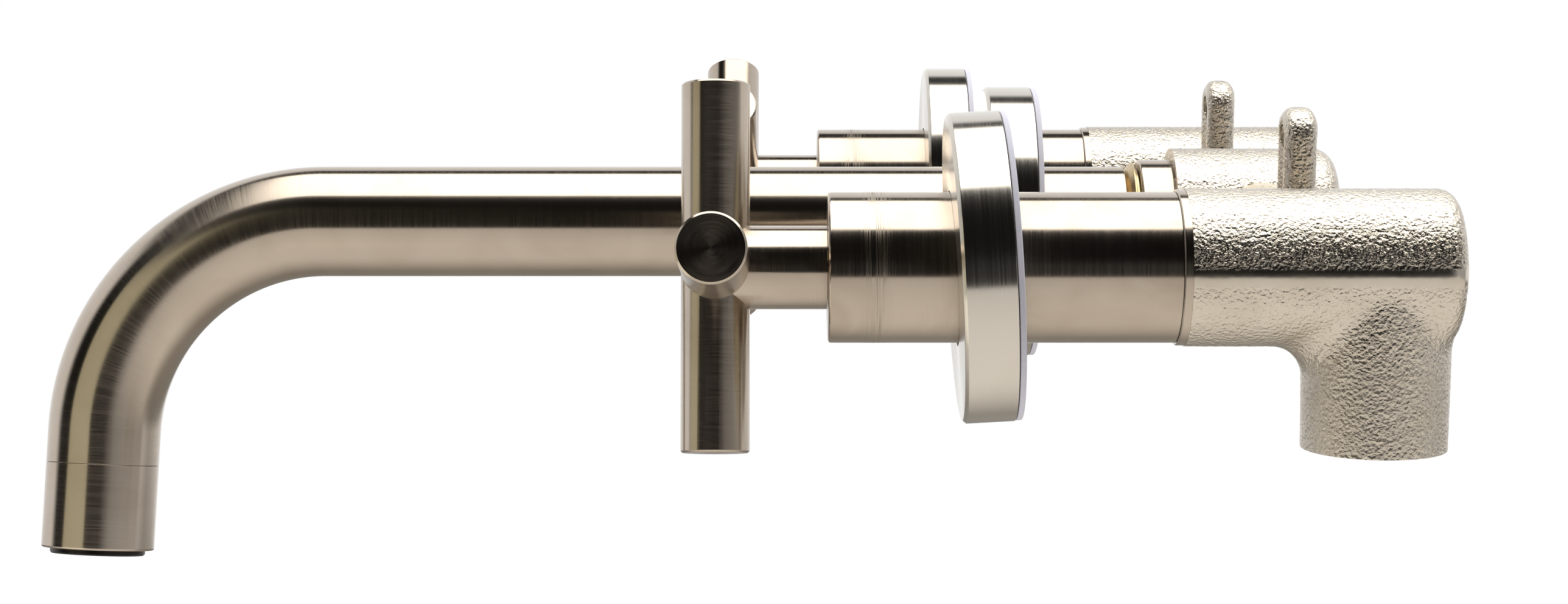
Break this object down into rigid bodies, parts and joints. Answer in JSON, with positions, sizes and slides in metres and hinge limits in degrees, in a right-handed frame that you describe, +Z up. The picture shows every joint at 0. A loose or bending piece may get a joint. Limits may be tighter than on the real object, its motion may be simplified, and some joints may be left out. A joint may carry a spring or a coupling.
{
  "type": "wall mounted bath faucet",
  "caption": "Wall-mounted bath faucet: long bent tube spout between cross-handle valves on sleeves with loose round flanges, and a cast rough-in with inlets facing down and screw ears.",
  "frame": {"origin": "on the spout centreline, in the plane of the finished wall", "axes": "+X into the wall, so the spout reaches out along -X; +Z up; the hot valve is on the +Y side, on the left of someone facing the wall"},
  "size_m": [0.3362, 0.281, 0.127],
  "materials": {
    "brushed_nickel": "brushed nickel plate over brass, warm satin with fine turning lines",
    "cast_nickel": "cast brass with rough sand-cast skin, bright nickel plate",
    "brass": "turned brass, unplated",
    "ceramic": "lapped alumina ceramic",
    "rubber": "black nitrile rubber",
    "foam": "pale closed-cell foam gasket",
    "nylon": "white nylon",
    "steel": "stainless steel"
  },
  "bodies": {
    "rough_in": {"cold_valve_body": "cast_nickel", "cold_crossover": "cast_nickel", "cold_sleeve": "brushed_nickel", "cold_spindle_bush": "nylon", "cold_cartridge_nut": "brass", "cold_cartridge_body": "brass", "cold_stem_o_ring": "rubber", "cold_fixed_disc": "ceramic", "cold_seat_seal": "rubber", "hot_valve_body": "cast_nickel", "hot_crossover": "cast_nickel", "hot_sleeve": "brushed_nickel", "hot_spindle_bush": "nylon", "hot_cartridge_nut": "brass", "hot_cartridge_body": "brass", "hot_stem_o_ring": "rubber", "hot_fixed_disc": "ceramic", "hot_seat_seal": "rubber", "spout_body": "cast_nickel", "spout_nipple": "brass", "spout_collar": "brushed_nickel", "spout_tube": "brushed_nickel", "spout_outlet_housing": "brushed_nickel", "aerator_washer": "rubber", "aerator_insert": "steel"},
    "cold_handle": {"cold_handle": "brushed_nickel", "cold_handle_screw": "steel", "cold_spindle": "brass", "cold_moving_disc": "ceramic"},
    "hot_handle": {"hot_handle": "brushed_nickel", "hot_handle_screw": "steel", "hot_spindle": "brass", "hot_moving_disc": "ceramic"},
    "cold_flange_ring": {"cold_flange_o_ring": "rubber"},
    "cold_flange": {"cold_flange": "brushed_nickel", "cold_flange_gasket": "foam"},
    "spout_flange_ring": {"spout_flange_o_ring": "rubber"},
    "spout_flange": {"spout_flange": "brushed_nickel", "spout_flange_gasket": "foam"},
    "hot_flange_ring": {"hot_flange_o_ring": "rubber"},
    "hot_flange": {"hot_flange": "brushed_nickel", "hot_flange_gasket": "foam"}
  },
  "joints": [
    {"name": "cold_handle_turn", "type": "hinge", "parent": "rough_in", "child": "cold_handle", "pos_m": [0, -0.1016, 0], "axis": [-1, 0, 0], "range_deg": [-12.4, 77.6]},
    {"name": "hot_handle_turn", "type": "hinge", "parent": "rough_in", "child": "hot_handle", "pos_m": [0, 0.1016, 0], "axis": [-1, 0, 0], "range_deg": [-39, 51]},
    {"name": "cold_flange_slide", "type": "slide", "parent": "rough_in", "child": "cold_flange_ring", "axis": [1, 0, 0], "range_m": [-0.024, 0.033]},
    {"name": "cold_flange_rock", "type": "hinge", "parent": "cold_flange_ring", "child": "cold_flange", "pos_m": [-0.0218, -0.1016, 0], "axis": [0, 1, 0], "range_deg": [0, 6.4]},
    {"name": "spout_flange_slide", "type": "slide", "parent": "rough_in", "child": "spout_flange_ring", "axis": [1, 0, 0], "range_m": [-0.16, 0.024]},
    {"name": "spout_flange_rock", "type": "hinge", "parent": "spout_flange_ring", "child": "spout_flange", "pos_m": [-0.0084, 0, 0], "axis": [0, 1, 0], "range_deg": [-3.2, 3.2]},
    {"name": "hot_flange_slide", "type": "slide", "parent": "rough_in", "child": "hot_flange_ring", "axis": [1, 0, 0], "range_m": [-0.027, 0.035]},
    {"name": "hot_flange_rock", "type": "hinge", "parent": "hot_flange_ring", "child": "hot_flange", "pos_m": [-0.0186, 0.1016, 0], "axis": [0, 1, 0], "range_deg": [-3.2, 3.2]}
  ]
}
